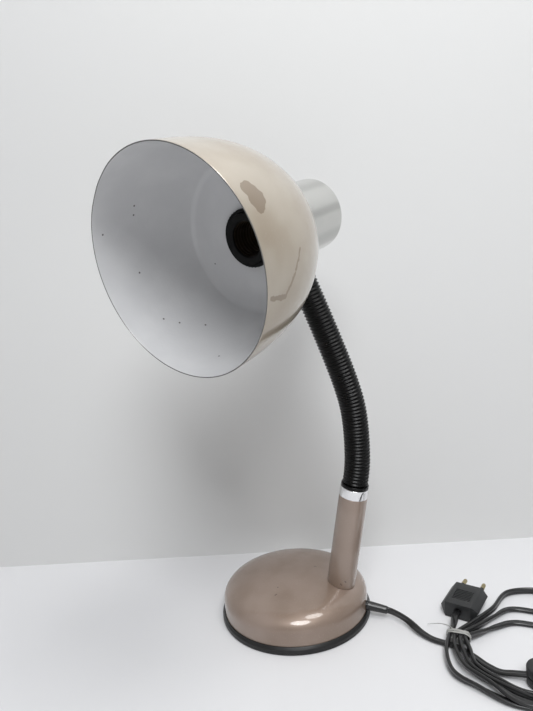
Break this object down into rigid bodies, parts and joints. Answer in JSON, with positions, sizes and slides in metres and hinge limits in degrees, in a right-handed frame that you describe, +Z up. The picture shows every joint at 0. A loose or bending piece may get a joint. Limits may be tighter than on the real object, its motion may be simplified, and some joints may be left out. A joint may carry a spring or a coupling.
{
  "type": "gooseneck desk lamp",
  "caption": "Table lamp with a weighted round foot, a leaning pillar, a ribbed bendable neck and a swivelling spun bowl shade on a cylindrical cup.",
  "frame": {"origin": "centre of the round foot's underside, on the table", "axes": "+Z up; +X to the rear, where the pillar stands and the cord leaves; the lamp's front is -X"},
  "size_m": [0.396, 0.2636, 0.4173],
  "materials": {
    "base_lacquer": "glossy rose-taupe lacquer",
    "shade_lacquer": "glossy champagne lacquer outside, satin white enamel inside",
    "cup_aluminium": "spun satin aluminium",
    "chrome": "polished",
    "zinc_steel": "zinc plated",
    "neck_bush_steel": "blackened",
    "brass": "turned and pressed",
    "nickel_brass": "nickel plated",
    "cast_iron": "as cast, painted",
    "black_moulding": "satin moulding",
    "sleeve_pvc": "soft satin moulding",
    "cord_pvc": "satin",
    "bakelite": "semi-gloss moulding",
    "porcelain": "glazed",
    "plug_plastic": "fine satin moulding",
    "rocker_plastic": "glossy moulding",
    "tie_film": "thin translucent band",
    "felt": "dense felt"
  },
  "bodies": {
    "base": {"felt_pad": "felt", "foot_ring": "black_moulding", "bottom_plate": "zinc_steel", "plate_screws": "zinc_steel", "ballast": "cast_iron", "ballast_bolt": "zinc_steel", "base_shell": "base_lacquer", "pillar_tube": "base_lacquer", "pillar_plug": "zinc_steel", "pillar_nipple": "brass", "pillar_washer": "zinc_steel", "pillar_nut": "zinc_steel", "collar": "chrome", "cord_relief": "cord_pvc", "cord_stop": "zinc_steel", "stop_screw": "zinc_steel", "inner_lead": "cord_pvc", "neck_hose_1": "zinc_steel", "neck_sleeve_1": "sleeve_pvc", "mains_cord": "cord_pvc", "cord_coil": "cord_pvc", "cord_tail": "cord_pvc", "cord_tie": "tie_film", "plug_body": "plug_plastic", "plug_pins": "nickel_brass", "switch_base": "plug_plastic", "switch_cover": "plug_plastic", "switch_screws": "zinc_steel"},
    "link_2": {"neck_hose_2": "zinc_steel", "neck_sleeve_2": "sleeve_pvc"},
    "link_3": {"neck_hose_3": "zinc_steel", "neck_sleeve_3": "sleeve_pvc"},
    "link_4": {"neck_hose_4": "zinc_steel", "neck_sleeve_4": "sleeve_pvc"},
    "link_5": {"neck_hose_5": "zinc_steel", "neck_sleeve_5": "sleeve_pvc"},
    "link_6": {"neck_hose_6": "zinc_steel", "neck_sleeve_6": "sleeve_pvc"},
    "link_7": {"neck_hose_7": "zinc_steel", "neck_sleeve_7": "sleeve_pvc"},
    "link_8": {"neck_hose_8": "zinc_steel", "neck_sleeve_8": "sleeve_pvc", "neck_bush": "neck_bush_steel", "swivel_nipple": "brass", "swivel_washer": "zinc_steel", "swivel_nut": "zinc_steel"},
    "head": {"cup_saddle": "bakelite", "cup": "cup_aluminium", "shade": "shade_lacquer", "shade_ring": "bakelite", "holder_skirt": "bakelite", "holder_cap": "bakelite", "holder_insert": "porcelain", "screw_shell": "brass", "centre_contact": "brass", "terminal_screws": "zinc_steel", "holder_bracket": "zinc_steel", "holder_nipple": "brass", "holder_nut": "zinc_steel"},
    "rocker": {"switch_rocker": "rocker_plastic"}
  },
  "joints": [
    {"name": "neck_fore_1", "type": "hinge", "parent": "base", "child": "link_2", "pos_m": [0.07091, 0, 0.14827], "axis": [0, -1, 0], "range_deg": [-24, 14]},
    {"name": "neck_side_2", "type": "hinge", "parent": "link_2", "child": "link_3", "pos_m": [0.07232, -0.00161, 0.17619], "axis": [0.9997, -0.0043, 0.0243], "range_deg": [-20, 20]},
    {"name": "neck_fore_3", "type": "hinge", "parent": "link_3", "child": "link_4", "pos_m": [0.07163, -0.00444, 0.20404], "axis": [-0.0018, -0.9949, -0.101], "range_deg": [-24, 14]},
    {"name": "neck_side_4", "type": "hinge", "parent": "link_4", "child": "link_5", "pos_m": [0.06595, -0.00865, 0.23113], "axis": [0.965, -0.0314, 0.2604], "range_deg": [-20, 20]},
    {"name": "neck_fore_5", "type": "hinge", "parent": "link_5", "child": "link_6", "pos_m": [0.05862, -0.01339, 0.25773], "axis": [0.0143, -0.985, -0.1718], "range_deg": [-24, 14]},
    {"name": "neck_side_6", "type": "hinge", "parent": "link_6", "child": "link_7", "pos_m": [0.05091, -0.01827, 0.2842], "axis": [0.9563, -0.0368, 0.2901], "range_deg": [-20, 20]},
    {"name": "neck_fore_7", "type": "hinge", "parent": "link_7", "child": "link_8", "pos_m": [0.04274, -0.02313, 0.31054], "axis": [0.0157, -0.9841, -0.1767], "range_deg": [-24, 14]},
    {"name": "head_swivel", "type": "hinge", "parent": "link_8", "child": "head", "pos_m": [0.0366, -0.02667, 0.33031], "axis": [-0.2921, -0.1684, 0.9414], "range_deg": [-160, 160]},
    {"name": "switch_rock", "type": "hinge", "parent": "base", "child": "rocker", "pos_m": [0.233, -0.044, 0.011], "axis": [-0.0349, -0.9994, 0], "range_deg": [0, 14]}
  ],
  "couplings": [
    {"joint": "neck_fore_3", "follows": "neck_fore_1", "ratio": 1},
    {"joint": "neck_fore_5", "follows": "neck_fore_1", "ratio": 1},
    {"joint": "neck_fore_7", "follows": "neck_fore_1", "ratio": 1},
    {"joint": "neck_side_4", "follows": "neck_side_2", "ratio": 1},
    {"joint": "neck_side_6", "follows": "neck_side_2", "ratio": 1}
  ]
}
